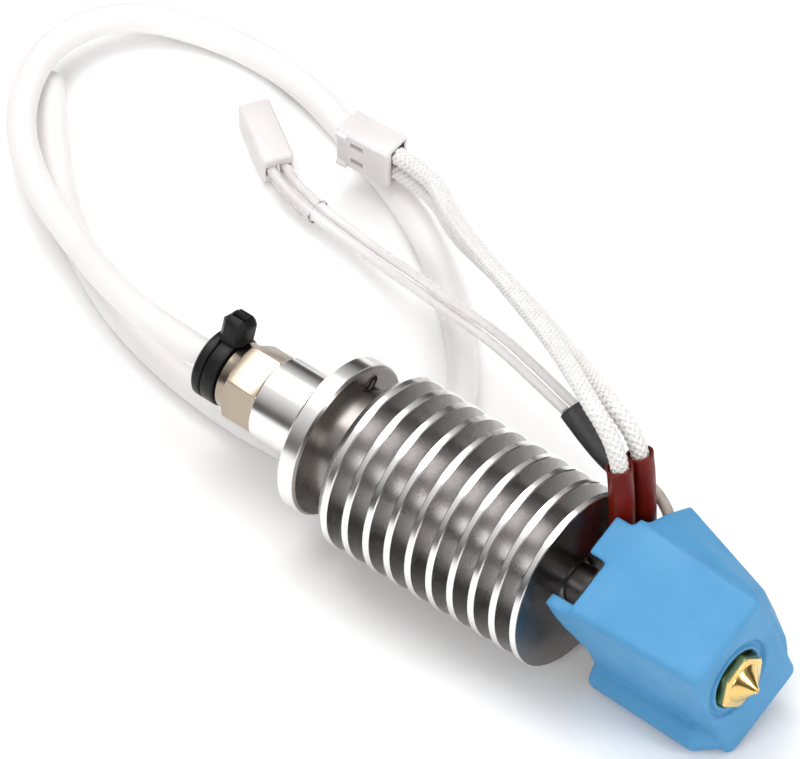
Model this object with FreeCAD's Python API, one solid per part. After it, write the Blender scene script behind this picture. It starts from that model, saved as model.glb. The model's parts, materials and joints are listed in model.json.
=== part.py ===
"""Hotend assembly of a filament 3-D printer, lying on a bench.

Frame, in millimetres: the X axis runs along the filament path, from the tube
coupler towards the nozzle. The origin is on that axis, on the coupler-side
face of the mounting flange. +Z is up. Each piece goes to parts/NODE.step.
"""
import FreeCAD, Part
import math
import os

Vector = FreeCAD.Vector
X_AXIS = Vector(1, 0, 0)
ORIGIN = Vector(0, 0, 0)

# ---- Driving dimensions (mm) ----
BENCH_Z = -14.0             # height of the bench below the filament axis

# Heat sink, turned from one aluminium bar
NECK_END_X = -9.0
NECK_R = 6.0
FLANGE_R = 11.0
FLANGE_T = 3.0
FIN_R = 12.5
FIN_T = 1.05
FIN_EDGE_BREAK = 0.15
FIN_PITCH = 3.5
FIN_COUNT = 10
LAST_FIN_X = 41.25          # nozzle-side face of the last fin
FIRST_FIN_BEVEL = 1.0       # bevel on the first fin's coupler side
CORE_R = 8.0
HEAT_BREAK_SOCKET_R = 3.5
FLANGE_HOLE_CIRCLE_R = 8.5
FLANGE_HOLE_R = 1.25        # tapped M3
FLANGE_HOLE_ANGLE = 56.0    # degrees from +Y towards +Z

# Filament tube and its push-fit coupler
TUBE_R = 2.0
TUBE_BORE_R = 1.0
TUBE_MOUTH_X = -19.5        # outer face of the coupler's collet
HEX_FLATS = 10.0
HEX_ROLL = 20.0             # degrees, +Y towards +Z
COLLAR_R = 4.7
COLLET_FLANGE_R = 4.9
COLLET_SLEEVE_R = 3.3
COUPLER_THREAD_R = 4.95
TIE_HEAD_TOP = 8.5          # from the filament axis
TIE_ROLL = -18.0            # degrees, +Y towards +Z

# Heater block, rolled about the X axis with all that it holds
BLOCK_ROLL = 21.0           # degrees, +Y towards +Z
BLOCK_X = (46.5, 66.5)
BLOCK_Y = (-4.6, 6.8)
BLOCK_Z = (-11.7, 8.0)
NOZZLE_THREAD_R = 2.95
HEAT_BREAK_END_X = 51.0
CARTRIDGE_Y = 1.0
CARTRIDGE_Z = -7.6
CARTRIDGE_R = 3.0
CARTRIDGE_X = (50.0, 66.0)
SET_SCREW_Z = -9.4

# Silicone sock
SOCK_X = (47.2, 68.0)
SOCK_GAP = 0.15             # all round the block

# Cords
BRAID_R = 1.3
SLEEVE_R = 1.72
SLEEVE_BORE_R = 1.42
THERMISTOR_WIRE_R = 0.65
LEAD_R = 0.8
SHRINK_R = 1.75
CLEAR_SLEEVE_R = 1.65
CLEAR_SLEEVE_BORE_R = 1.5


# ---- Shape helpers ----
def cylinder_x(radius, x0, x1, y=0.0, z=0.0):
    return Part.makeCylinder(radius, x1 - x0, Vector(x0, y, z), X_AXIS)


def ring_x(outer_r, inner_r, x0, x1):
    bore = cylinder_x(inner_r, x0 - 1.0, x1 + 1.0)
    return cylinder_x(outer_r, x0, x1).cut(bore)


def box(x_span, y_span, z_span):
    size = [span[1] - span[0] for span in (x_span, y_span, z_span)]
    corner = Vector(x_span[0], y_span[0], z_span[0])
    return Part.makeBox(size[0], size[1], size[2], corner)


def turned(profile):
    """A solid turned about the X axis from (x, radius) points."""
    points = [Vector(x, 0, r) for x, r in profile]
    face = Part.Face(Part.makePolygon(points + [points[0]]))
    return face.revolve(ORIGIN, X_AXIS, 360)


def hexagon_x(flats, x0, x1, chamfer_r):
    """A hexagonal bar whose corners are turned off to chamfer_r at x0."""
    corner_r = flats / math.sqrt(3.0)
    corners = []
    for step in range(7):
        angle = math.radians(60.0 * step)
        corners.append(Vector(x0, corner_r * math.cos(angle), corner_r * math.sin(angle)))
    bar = Part.Face(Part.makePolygon(corners)).extrude(Vector(x1 - x0, 0, 0))
    slope = (corner_r - chamfer_r) * 0.577
    envelope = turned([(x0, 0), (x0, chamfer_r), (x0 + slope, corner_r), (x1, corner_r + 0.01), (x1, 0)])
    return bar.common(envelope)


def block_point(x, y, z):
    """A point given in the heater block's upright frame, in the part's frame."""
    roll = math.radians(BLOCK_ROLL)
    return Vector(x, y * math.cos(roll) - z * math.sin(roll), y * math.sin(roll) + z * math.cos(roll))


def with_block(shape):
    """A shape modelled upright, rolled into place with the heater block."""
    rolled = shape.copy()
    rolled.rotate(ORIGIN, X_AXIS, BLOCK_ROLL)
    return rolled


def rounded_section(x, corners, radius):
    """A closed wire across the X axis: straight sides and rounded corners."""
    edges = []
    starts = []
    count = len(corners)
    points = [Vector(x, y, z) for y, z in corners]
    for index in range(count):
        here = points[index]
        back = (points[index - 1] - here).normalize()
        ahead = (points[(index + 1) % count] - here).normalize()
        half = back.getAngle(ahead) / 2.0
        reach = radius / math.tan(half)
        centre = here + (back + ahead).normalize() * (radius / math.sin(half))
        middle = centre + (here - centre).normalize() * radius
        starts.append((here + back * reach, middle, here + ahead * reach))
    for index in range(count):
        begin, middle, end = starts[index]
        edges.append(Part.Arc(begin, middle, end).toShape())
        edges.append(Part.LineSegment(end, starts[(index + 1) % count][0]).toShape())
    return Part.Wire(edges)


def skinned(sections):
    return Part.makeLoft(sections, True, True)


# ---- Cord helpers ----
def cord_path(points, name):
    """Straight runs joined by tangent arcs, each as large as its runs allow."""
    edges = []
    radii = []
    last = points[0]
    for index in range(1, len(points) - 1):
        here = points[index]
        back = points[index - 1] - here
        ahead = points[index + 1] - here
        turn = math.pi - back.getAngle(ahead)
        reach = 0.45 * min(back.Length, ahead.Length)
        radius = reach / math.tan(turn / 2.0)
        radii.append(radius)
        back.normalize()
        ahead.normalize()
        begin = here + back * reach
        end = here + ahead * reach
        to_centre = (back + ahead).normalize()
        sagitta = radius / math.cos(turn / 2.0) - radius
        edges.append(Part.LineSegment(last, begin).toShape())
        edges.append(Part.Arc(begin, here + to_centre * sagitta, end).toShape())
        last = end
    edges.append(Part.LineSegment(last, points[-1]).toShape())
    path = Part.Wire(edges)
    print(name, "length", round(path.Length, 1), "arc radii", [round(r, 1) for r in radii])
    return path


def swept(path, start, ahead, radius):
    circle = Part.Wire(Part.makeCircle(radius, start, ahead))
    return path.makePipeShell([circle], True, True)


def cord(points, name, radius, bore_r=0.0):
    """A round cord, or a tube when it has a bore, along a route of points."""
    path = cord_path(points, name)
    ahead = points[1] - points[0]
    solid = swept(path, points[0], ahead, radius)
    expected = math.pi * radius ** 2 * path.Length
    if bore_r:
        solid = solid.cut(swept(path, points[0], ahead, bore_r))
        expected -= math.pi * bore_r ** 2 * path.Length
    print(name, "volume", round(solid.Volume, 2), "expected", round(expected, 2))
    return solid


def write(name, shape):
    if not shape.isValid():
        print("INVALID", name)
    shape.exportStep("parts/" + name + ".step")


os.makedirs("parts", exist_ok=True)


# ---- Heat sink ----
def heat_sink():
    profile = [(NECK_END_X, 0), (NECK_END_X, NECK_R - 0.4), (NECK_END_X + 0.4, NECK_R)]
    profile += [(0, NECK_R), (0, FLANGE_R - 0.4)]
    profile += [(0.4, FLANGE_R), (FLANGE_T - 0.4, FLANGE_R), (FLANGE_T, FLANGE_R - 0.4)]
    profile += [(FLANGE_T, CORE_R)]
    for index in range(FIN_COUNT):
        x1 = LAST_FIN_X - FIN_PITCH * (FIN_COUNT - 1 - index)
        x0 = x1 - FIN_T
        if index == 0:
            bevel_x = x0 - FIRST_FIN_BEVEL
            profile += [(bevel_x, CORE_R), (bevel_x, FIN_R - FIRST_FIN_BEVEL)]
        else:
            profile += [(x0, CORE_R), (x0, FIN_R - FIN_EDGE_BREAK)]
        profile += [(x0 + FIN_EDGE_BREAK, FIN_R), (x1 - FIN_EDGE_BREAK, FIN_R)]
        profile += [(x1, FIN_R - FIN_EDGE_BREAK)]
        if index < FIN_COUNT - 1:
            profile.append((x1, CORE_R))
    profile.append((LAST_FIN_X, 0))
    body = turned(profile)
    body = body.cut(cylinder_x(COUPLER_THREAD_R + 0.05, NECK_END_X - 1.0, -2.0))
    body = body.cut(cylinder_x(TUBE_R + 0.1, -3.0, LAST_FIN_X + 1.0))
    body = body.cut(cylinder_x(HEAT_BREAK_SOCKET_R, 27.0, LAST_FIN_X + 1.0))
    for half_turn in (0.0, 180.0):
        angle = math.radians(FLANGE_HOLE_ANGLE + half_turn)
        y = FLANGE_HOLE_CIRCLE_R * math.cos(angle)
        z = FLANGE_HOLE_CIRCLE_R * math.sin(angle)
        body = body.cut(cylinder_x(FLANGE_HOLE_R, -1.0, FLANGE_T + 1.0, y, z))
    return body


write("heat_sink", heat_sink())


# ---- Push-fit coupler, collet, grip ring, seal and the tie that locks it ----
def coupler_body():
    collar = turned([
        (-15.7, 0), (-15.7, COLLAR_R - 0.3), (-15.4, COLLAR_R), (-13.9, COLLAR_R), (-13.9, 0)])
    thread = cylinder_x(COUPLER_THREAD_R, NECK_END_X - 0.1, -2.5)
    hexagon = hexagon_x(HEX_FLATS, -14.0, NECK_END_X, 5.2)
    hexagon.rotate(ORIGIN, X_AXIS, HEX_ROLL)
    body = collar.fuse(hexagon).fuse(thread).removeSplitter()
    body = body.cut(cylinder_x(COLLET_SLEEVE_R + 0.1, -16.0, -8.0))
    body = body.cut(cylinder_x(2.95, -8.5, -5.6))
    return body.cut(cylinder_x(TUBE_R + 0.05, -6.0, -2.0))


def collet():
    profile = [(TUBE_MOUTH_X, 0), (TUBE_MOUTH_X, COLLET_FLANGE_R - 0.3)]
    profile += [(TUBE_MOUTH_X + 0.3, COLLET_FLANGE_R), (-18.3, COLLET_FLANGE_R)]
    profile += [(-18.1, COLLET_FLANGE_R - 0.2), (-18.1, COLLET_SLEEVE_R)]
    profile += [(-11.2, COLLET_SLEEVE_R), (-11.2, 0)]
    body = turned(profile).cut(cylinder_x(TUBE_R + 0.08, TUBE_MOUTH_X - 1.0, -11.0))
    for turn in (0.0, 90.0):
        slit = box((-14.5, -11.0), (-4.0, 4.0), (-0.3, 0.3))
        slit.rotate(ORIGIN, X_AXIS, turn)
        body = body.cut(slit)
    return body


def cable_tie():
    """Strap round the collet's sleeve, ratchet head and the cut end of the strap."""
    strap = turned([
        (-17.95, 3.42), (-17.95, 4.7), (-17.75, 4.9), (-16.05, 4.9), (-15.85, 4.7), (-15.85, 3.42)])
    head = box((-18.8, -15.0), (-2.0, 2.0), (4.6, TIE_HEAD_TOP))
    head = head.makeChamfer(0.9, [edge for edge in head.Edges if edge.CenterOfMass.z > 5.0])
    clear_of_collet = cylinder_x(COLLET_FLANGE_R + 0.12, -20.0, -17.98)
    clear_of_collar = cylinder_x(COLLAR_R + 0.35, -15.82, -13.0)
    slot = box((-18.0, -15.8), (-0.9, 0.4), (TIE_HEAD_TOP - 0.8, TIE_HEAD_TOP + 1.0))
    head = head.cut(clear_of_collet).cut(clear_of_collar).cut(slot)
    stub = box((-17.85, -15.95), (-0.7, 0.2), (TIE_HEAD_TOP - 1.2, TIE_HEAD_TOP + 0.3))
    tie = strap.fuse(head).fuse(stub).removeSplitter()
    tie.rotate(ORIGIN, X_AXIS, TIE_ROLL)
    return tie


write("coupler_body", coupler_body())
write("coupler_collet", collet())
write("coupler_grip_ring", ring_x(3.3, TUBE_R + 0.03, -10.6, -10.2))
write("coupler_seal", Part.makeTorus(2.47, 0.42, Vector(-6.9, 0, 0), X_AXIS))
write("cable_tie", cable_tie())


# ---- Heat break, heater block, cartridge, nozzle ----
def heat_break():
    profile = [(27.5, 0), (27.5, 3.2), (27.8, 3.45), (40.6, 3.45), (41.3, 2.75)]
    profile += [(BLOCK_X[0] - 0.1, 2.75), (BLOCK_X[0] - 0.1, 2.95)]
    profile += [(HEAT_BREAK_END_X, 2.95), (HEAT_BREAK_END_X, 0)]
    return turned(profile).cut(cylinder_x(TUBE_R + 0.05, 27.0, HEAT_BREAK_END_X + 1.0))


def heater_block():
    block = box(BLOCK_X, BLOCK_Y, BLOCK_Z)
    block = block.makeChamfer(0.4, block.Edges)
    block = block.cut(cylinder_x(NOZZLE_THREAD_R + 0.05, BLOCK_X[0] - 1.0, BLOCK_X[1] + 1.0))
    bore = cylinder_x(CARTRIDGE_R + 0.05, BLOCK_X[0] - 1.0, BLOCK_X[1] + 1.0, CARTRIDGE_Y, CARTRIDGE_Z)
    block = block.cut(bore)
    screw_hole = Part.makeCylinder(1.5, 6.0, Vector(56.0, -0.6, SET_SCREW_Z), Vector(0, -1, 0))
    bead_hole = Part.makeCylinder(1.25, 6.0, Vector(58.0, 3.5, 0), Vector(0, 1, 0))
    tapped_hole = Part.makeCylinder(1.45, 6.0, Vector(52.5, 3.9, -0.4), Vector(0, 1, 0))
    return with_block(block.cut(screw_hole).cut(bead_hole).cut(tapped_hole))


def block_screws():
    """Cartridge set screw on one side, thermistor screw on the other."""
    head_face = BLOCK_Y[0] - 0.02
    set_head = Part.makeCylinder(1.8, 1.9, Vector(56.0, head_face, SET_SCREW_Z), Vector(0, -1, 0))
    set_shank = Part.makeCylinder(1.45, 2.5, Vector(56.0, head_face - 0.1, SET_SCREW_Z), Vector(0, 1, 0))
    set_socket = Part.makeCylinder(1.0, 1.2, Vector(56.0, head_face - 1.95, SET_SCREW_Z), Vector(0, 1, 0))
    bead_head = Part.makeCylinder(2.3, 1.6, Vector(52.5, BLOCK_Y[1] + 0.02, -0.4), Vector(0, 1, 0))
    bead_shank = Part.makeCylinder(1.4, 2.8, Vector(52.5, BLOCK_Y[1] - 2.7, -0.4), Vector(0, 1, 0))
    bead_socket = Part.makeCylinder(1.0, 1.0, Vector(52.5, BLOCK_Y[1] + 1.7, -0.4), Vector(0, -1, 0))
    set_screw = set_head.fuse(set_shank).cut(set_socket).removeSplitter()
    bead_screw = bead_head.fuse(bead_shank).cut(bead_socket).removeSplitter()
    return with_block(Part.makeCompound([set_screw, bead_screw]))


def nozzle():
    thread = cylinder_x(NOZZLE_THREAD_R, HEAT_BREAK_END_X + 0.05, 66.8)
    base = hexagon_x(7.0, -69.0, -66.7, 3.75)
    base.rotate(ORIGIN, Vector(0, 0, 1), 180)
    cone = turned([(68.9, 0), (68.9, 2.75), (69.1, 2.75), (70.9, 0.62), (71.2, 0.45), (71.2, 0)])
    body = thread.fuse(base).fuse(cone).removeSplitter()
    body = body.cut(cylinder_x(TUBE_BORE_R, HEAT_BREAK_END_X - 1.0, 69.4))
    return with_block(body.cut(cylinder_x(0.2, 69.0, 73.0)))


write("heat_break", heat_break())
write("heater_block", heater_block())
write("block_screws", block_screws())
write("nozzle", nozzle())
cartridge = cylinder_x(CARTRIDGE_R, CARTRIDGE_X[0], CARTRIDGE_X[1], CARTRIDGE_Y, CARTRIDGE_Z)
write("heater_cartridge", with_block(cartridge))


# ---- Silicone sock, with a pocket over each screw ----
# Steps of the sensor pocket, in the block's upright frame: (x end, y span, top z)
SENSOR_POCKET = [
    (60.5, (5.0, 8.9), 2.9), (51.5, (5.0, 13.5), 2.9), (57.0, (8.0, 12.9), 1.5), (59.2, (8.0, 12.4), 1.5)]


def sock():
    """Walls 1 mm thick and more, tabs at the heat sink's side, lobes over the sensor and the set screw."""
    main_fin = [(-6.5, 9.0), (9.4, 9.0), (9.4, -12.5), (-6.5, -12.5)]
    main_mid = [(-6.1, 9.0), (8.4, 9.0), (8.4, -12.5), (-6.1, -12.5)]
    main_tip = [(-5.6, 8.5), (7.9, 8.5), (7.9, -12.1), (-5.6, -12.1)]
    body = skinned([
        rounded_section(SOCK_X[0], main_fin, 1.0),
        rounded_section(SOCK_X[1] - 0.5, main_mid, 1.0),
        rounded_section(SOCK_X[1], main_tip, 1.0)])
    wide = [
        (5.0, 7.8), (9.6, 8.2), (12.4, 5.8), (16.0, 1.6),
        (16.0, -5.0), (12.5, -9.0), (8.0, -11.5), (5.0, -11.5)]
    slim = [
        (5.0, 7.0), (8.3, 7.4), (10.0, 5.2), (11.6, 1.4),
        (11.6, -5.0), (10.0, -8.5), (7.6, -10.6), (5.0, -10.6)]
    tail = [
        (5.0, 6.2), (7.6, 6.2), (8.6, 4.9), (9.2, 1.2),
        (9.2, -5.0), (8.6, -7.6), (7.3, -9.2), (5.0, -9.2)]
    sensor_lobe = skinned([
        rounded_section(SOCK_X[0] + 1.0, wide, 0.8),
        rounded_section(SOCK_X[1] - 4.2, slim, 0.8),
        rounded_section(SOCK_X[1] - 0.4, tail, 0.5)])
    near = [(-4.0, -6.6), (-7.0, -7.2), (-8.3, -8.6), (-8.3, -10.4), (-7.2, -12.0), (-4.0, -12.2)]
    full = [(-4.0, -6.6), (-7.2, -7.2), (-8.8, -8.6), (-8.8, -10.3), (-7.4, -11.9), (-4.0, -12.2)]
    fade = [(-4.0, -7.2), (-5.6, -7.8), (-6.3, -8.8), (-6.3, -10.2), (-5.6, -11.6), (-4.0, -12.0)]
    screw_lobe = skinned([
        rounded_section(SOCK_X[0] - 0.4, near, 0.5),
        rounded_section(SOCK_X[1] - 4.0, full, 0.5),
        rounded_section(SOCK_X[1] - 0.8, fade, 0.5)])
    upper_tab = box((44.4, 50.0), (1.9, 7.9), (BLOCK_Z[1] + SOCK_GAP, 9.0))
    side_tab = side_tab_plate()
    body = body.fuse([sensor_lobe, screw_lobe, upper_tab, side_tab]).removeSplitter()
    grown = [(low - SOCK_GAP, high + SOCK_GAP) for low, high in (BLOCK_Y, BLOCK_Z)]
    body = body.cut(box((40.0, BLOCK_X[1] + SOCK_GAP), grown[0], grown[1]))
    for x_end, y_span, top_z in SENSOR_POCKET:
        body = body.cut(box((40.0, x_end), y_span, (-3.2, top_z)))
    body = body.cut(box((40.0, 59.0), (-6.9, -4.0), (-11.4, -7.4)))
    body = body.cut(cylinder_x(4.2, 66.0, 69.0))
    body = body.cut(ring_x(5.6, 4.8, SOCK_X[1] - 0.8, 69.0))
    return with_block(body)


def side_tab_plate():
    """The tab on the side wall: deepest near the top edge, swept back towards the bottom."""
    y0 = -6.5
    outline = [(50.0, 7.6), (43.1, 7.4), (43.3, 4.6), (44.3, 1.4), (45.8, -0.4), (47.0, -2.2), (50.0, -2.2)]
    corners = [Vector(x, y0, z) for x, z in outline]
    plate = Part.Face(Part.makePolygon(corners + [corners[0]]))
    return plate.extrude(Vector(0, BLOCK_Y[0] - SOCK_GAP - y0, 0))


write("silicone_sock", sock())


# ---- Filament tube: the free cord and the stretch inside the hotend ----
TUBE_Z = BENCH_Z + TUBE_R
TUBE_ROUTE = [
    (TUBE_MOUTH_X, 0, 0), (-30.0, 0, 0), (-41.0, 4.6, -4.0), (-51.5, 10.0, -7.4),
    (-62.5, 14.6, -7.7), (-72.5, 23.0, -8.0), (-77.8, 35.5, -8.2), (-74.5, 47.5, -10.0),
    (-63.5, 53.6, TUBE_Z), (-50.5, 54.2, TUBE_Z), (-36.5, 50.0, TUBE_Z), (-22.5, 44.8, TUBE_Z),
    (-10.5, 37.2, TUBE_Z), (-2.2, 29.8, TUBE_Z), (4.2, 21.6, TUBE_Z), (3.9, 10.4, TUBE_Z),
    (-5.0, 2.9, TUBE_Z), (-18.0, 2.2, TUBE_Z), (-32.0, 3.9, TUBE_Z), (-45.0, 8.0, TUBE_Z),
    (-57.5, 15.4, TUBE_Z), (-68.0, 24.8, TUBE_Z), (-75.2, 33.0, TUBE_Z)]


def points_of(route):
    return [Vector(x, y, z) for x, y, z in route]


write("ptfe_tube", cord(points_of(TUBE_ROUTE), "ptfe_tube", TUBE_R, TUBE_BORE_R))
write("ptfe_liner", ring_x(TUBE_R, TUBE_BORE_R, TUBE_MOUTH_X, HEAT_BREAK_END_X))


# ---- Connector housings and crimp contacts ----
PLUG_POCKET = 2.5           # depth of the wire entries
BARREL_HALF = {"heater": 0.8, "sensor": 0.6}        # half a contact's width
LEAD_IN = {"heater": 5.5, "sensor": 3.4}            # straight wire before a plug's mouth


def placed(shape, mouth, heading, roll):
    """A shape modelled from the origin along +X, rolled and moved to a plug's mouth."""
    turn = FreeCAD.Rotation(X_AXIS, heading).multiply(FreeCAD.Rotation(X_AXIS, roll))
    moved = shape.copy()
    moved.Placement = FreeCAD.Placement(mouth, turn).multiply(moved.Placement)
    return moved


def plug_housing(pitch, entry, length, height):
    half_width = (pitch + entry) / 2.0 + 0.35
    body = box((0, length), (-half_width, half_width), (-height / 2.0, height / 2.0))
    body = body.makeChamfer(0.3, body.Edges)
    half = entry / 2.0
    cavity = min(half - 0.05, 0.95)
    for side in (-1, 1):
        y = side * pitch / 2.0
        body = body.cut(box((-1.0, PLUG_POCKET), (y - half, y + half), (-half, half)))
        body = body.cut(box((PLUG_POCKET - 0.1, length + 1.0), (y - cavity, y + cavity), (-cavity, cavity)))
        body = body.cut(box((4.0, 6.0), (y - 0.45, y + 0.45), (-height, -0.5)))
    for side in (-1, 1):
        y = side * (half_width - 0.6)
        rib = box((6.5, length - 0.4), (y - 0.35, y + 0.35), (-height / 2.0 - 0.5, -height / 2.0 + 0.3))
        body = body.fuse(rib)
    return body.removeSplitter()


def plug_contacts(pitch, half):
    contacts = []
    for side in (-1, 1):
        y = side * pitch / 2.0
        barrel = box((PLUG_POCKET, 7.2), (y - half, y + half), (-half, half))
        quarter = half / 2.0
        contacts.append(barrel.cut(box((5.5, 8.0), (y - quarter, y + quarter), (-quarter, quarter))))
    return Part.makeCompound(contacts)


HEATER_MOUTH = Vector(-27.3, 46.6, -6.2)
HEATER_HEADING = Vector(-1.0, -0.05, 0.0).normalize()
HEATER_PITCH = 2.8          # the entries stand one above the other
HEATER_ROLL = 90.0
SENSOR_MOUTH = Vector(-41.6, 39.5, -11.4)
SENSOR_HEADING = Vector(-0.843, 0.538, 0.0).normalize()
SENSOR_PITCH = 2.0

heater_housing = plug_housing(HEATER_PITCH, 2.7, 8.4, 4.6)
sensor_housing = plug_housing(SENSOR_PITCH, 1.5, 11.0, 4.2)
write("heater_plug", placed(heater_housing, HEATER_MOUTH, HEATER_HEADING, HEATER_ROLL))
heater_barrels = plug_contacts(HEATER_PITCH, BARREL_HALF["heater"])
write("heater_contacts", placed(heater_barrels, HEATER_MOUTH, HEATER_HEADING, HEATER_ROLL))
write("thermistor_plug", placed(sensor_housing, SENSOR_MOUTH, SENSOR_HEADING, 0.0))
sensor_barrels = plug_contacts(SENSOR_PITCH, BARREL_HALF["sensor"])
write("thermistor_contacts", placed(sensor_barrels, SENSOR_MOUTH, SENSOR_HEADING, 0.0))


# ---- Heater wires: glass braid, each in a red sleeve where it leaves the block ----
def plug_ends(mouth, heading, to_entry, lead_in):
    """The last two points of a wire, straight into its entry."""
    return [mouth + to_entry - heading * lead_in, mouth + to_entry + heading * PLUG_POCKET]


# Each wire: its place in the cartridge bore, its rise beside the block, its run to the plug
WIRE_BASES = {"a": (0.05, -6.55), "b": (1.95, -8.65)}
WIRE_RISE = {
    "a": [(43.6, 6.2, 0.6), (43.6, 6.3, 11.0), (42.9, 6.3, 20.6)],
    "b": [(43.9, 10.3, -0.4), (43.9, 10.2, 9.0), (43.4, 10.2, 18.9)]}
WIRE_RUN = {
    "a": [
        (36.0, 8.7, 23.4), (25.4, 15.3, 20.4), (12.4, 22.9, 14.8),
        (-1.1, 31.1, 7.8), (-11.8, 38.8, 0.4)],
    "b": [
        (37.4, 11.3, 22.0), (27.0, 16.8, 18.4), (14.1, 24.1, 12.7),
        (0.6, 31.6, 5.6), (-10.5, 38.5, -2.1)]}
ENTRY_SIDE = {"a": 1, "b": -1}     # above or below the plug's middle
SLEEVE_TOP_Z = {"a": 17.9, "b": 17.1}
SLEEVE_FOOT_Z = -2.4

for label in ("a", "b"):
    base_y, base_z = WIRE_BASES[label]
    start = [block_point(CARTRIDGE_X[0], base_y, base_z), block_point(44.0, base_y, base_z)]
    rise = points_of(WIRE_RISE[label])
    run = points_of(WIRE_RUN[label])
    to_entry = Vector(0, 0, ENTRY_SIDE[label] * HEATER_PITCH / 2.0)
    ends = plug_ends(HEATER_MOUTH, HEATER_HEADING, to_entry, LEAD_IN["heater"])
    name = "heater_wire_" + label
    write(name, cord(start + rise + run + ends, name, BRAID_R))
    name = "heater_sleeve_" + label
    sleeve = cord(start + rise + run[:1], name, SLEEVE_R, SLEEVE_BORE_R)
    kept = box((30.0, 60.0), (-10.0, 20.0), (SLEEVE_FOOT_Z, SLEEVE_TOP_Z[label]))
    write(name, sleeve.common(kept))


# ---- Thermistor: bead, lead tube, shrink sleeve, two wires, clear sleeve ----
def bead():
    body = Part.makeCylinder(1.2, 3.9, Vector(58.0, 3.7, 0), Vector(0, 1, 0))
    collar = Part.makeCylinder(1.7, 0.75, Vector(58.0, BLOCK_Y[1] + 0.05, 0), Vector(0, 1, 0))
    return with_block(body.fuse(collar))


LEAD_START = [block_point(58.0, 7.62, 0), block_point(58.0, 11.7, 0), block_point(48.6, 11.9, 0.3)]
LEAD_RUN = [(44.4, 13.5, 7.0), (40.0, 12.9, 8.7)]
SHRINK_RUN = [(40.0, 12.9, 8.7), (35.6, 12.5, 9.4), (28.9, 13.9, 12.4)]

write("thermistor_bead", bead())
write("thermistor_lead", cord(LEAD_START + points_of(LEAD_RUN), "thermistor_lead", LEAD_R))
write("thermistor_shrink", cord(points_of(SHRINK_RUN), "thermistor_shrink", SHRINK_R))

PAIR_RUN = [
    (28.9, 13.9, 12.4), (21.4, 16.6, 10.8), (10.4, 21.7, 6.2), (-1.0, 26.8, -0.2),
    (-12.5, 32.0, -6.6), (-23.5, 35.6, -11.0)]
PAIR_OFFSETS = [
    (0.3, 0.72, 0.1), (0.3, 0.7, 0.2), (0.1, 0.5, 0.6),
    (0.0, 0.3, 0.75), (0.1, 0.5, 0.6), (0.2, 0.75, 0.1)]

for label, side in (("a", -1), ("b", 1)):
    route = []
    for point, offset in zip(points_of(PAIR_RUN), points_of(PAIR_OFFSETS)):
        route.append(point + offset * side)
    to_entry = Vector(SENSOR_HEADING.y, -SENSOR_HEADING.x, 0) * (side * SENSOR_PITCH / 2.0)
    route += plug_ends(SENSOR_MOUTH, SENSOR_HEADING, to_entry, LEAD_IN["sensor"])
    write("thermistor_wire_" + label, cord(route, "thermistor_wire_" + label, THERMISTOR_WIRE_R))

sleeve_mouth = SENSOR_MOUTH - SENSOR_HEADING * 0.6
sleeve_turn = SENSOR_MOUTH - SENSOR_HEADING * LEAD_IN["sensor"]
SLEEVE_END = Vector(-32.6, 36.8, -11.2)
sleeve_points = [sleeve_mouth, sleeve_turn, SLEEVE_END]
clear_sleeve = cord(sleeve_points, "thermistor_clear_sleeve", CLEAR_SLEEVE_R, CLEAR_SLEEVE_BORE_R)
write("thermistor_clear_sleeve", clear_sleeve)
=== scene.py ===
"""Looks of a 3-D printer's hotend assembly, lying on a pale bench.

Metres, in the part's own frame: +X along the filament path towards the nozzle,
+Z up, the origin on the coupler-side face of the heat sink's flange.
"""
import json
import math
import bmesh
import bpy
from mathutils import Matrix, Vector


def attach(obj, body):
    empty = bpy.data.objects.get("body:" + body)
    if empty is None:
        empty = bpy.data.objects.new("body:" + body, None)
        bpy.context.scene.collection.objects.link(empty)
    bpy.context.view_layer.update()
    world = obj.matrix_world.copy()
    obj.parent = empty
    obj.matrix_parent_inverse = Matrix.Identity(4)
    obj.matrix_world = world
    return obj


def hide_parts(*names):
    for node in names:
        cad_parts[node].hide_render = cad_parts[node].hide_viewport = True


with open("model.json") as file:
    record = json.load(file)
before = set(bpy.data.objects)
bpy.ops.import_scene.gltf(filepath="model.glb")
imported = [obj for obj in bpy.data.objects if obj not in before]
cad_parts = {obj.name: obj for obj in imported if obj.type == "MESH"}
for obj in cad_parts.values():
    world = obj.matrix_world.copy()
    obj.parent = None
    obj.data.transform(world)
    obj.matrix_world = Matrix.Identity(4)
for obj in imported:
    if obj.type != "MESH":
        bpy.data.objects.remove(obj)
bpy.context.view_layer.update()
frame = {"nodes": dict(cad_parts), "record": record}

scene = bpy.context.scene

# ---- Bench, light and camera ----
# A white bench top under the parts, two large soft boxes, a narrow strip light and
# a room dark at the horizon and bright overhead, so that turned metal shows both.
MM = 0.001
BENCH_Z = -14.0 * MM
CAMERA_AZIMUTH = math.radians(39.7)
CAMERA_ELEVATION = math.radians(47.1)
CAMERA_DISTANCE = 4.0
CAMERA_TARGET = Vector((0.0048, 0.0084, 0.006))
CAMERA_LENS_MM = 1396.8
# each light: name, place, width, depth, watts
SOFT_BOXES = [
    ("overhead_soft_box", (-0.25, 0.10, 0.80), 0.70, 0.50, 4.2),
    ("front_soft_box", (0.15, -0.70, 0.45), 0.50, 0.35, 2.6),
    ("side_strip", (0.75, 0.10, 0.35), 0.20, 0.60, 2.6)]
ROOM_COLOUR = (1.0, 0.985, 0.98, 1.0)
ROOM_AT_HORIZON = 0.06
ROOM_OVERHEAD = 0.85
ROOM_BLEND = (0.25, 0.8)    # sines of the elevations where the room starts and stops brightening


def new_object(name, data):
    made = bpy.data.objects.new(name, data)
    scene.collection.objects.link(made)
    return made


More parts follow.
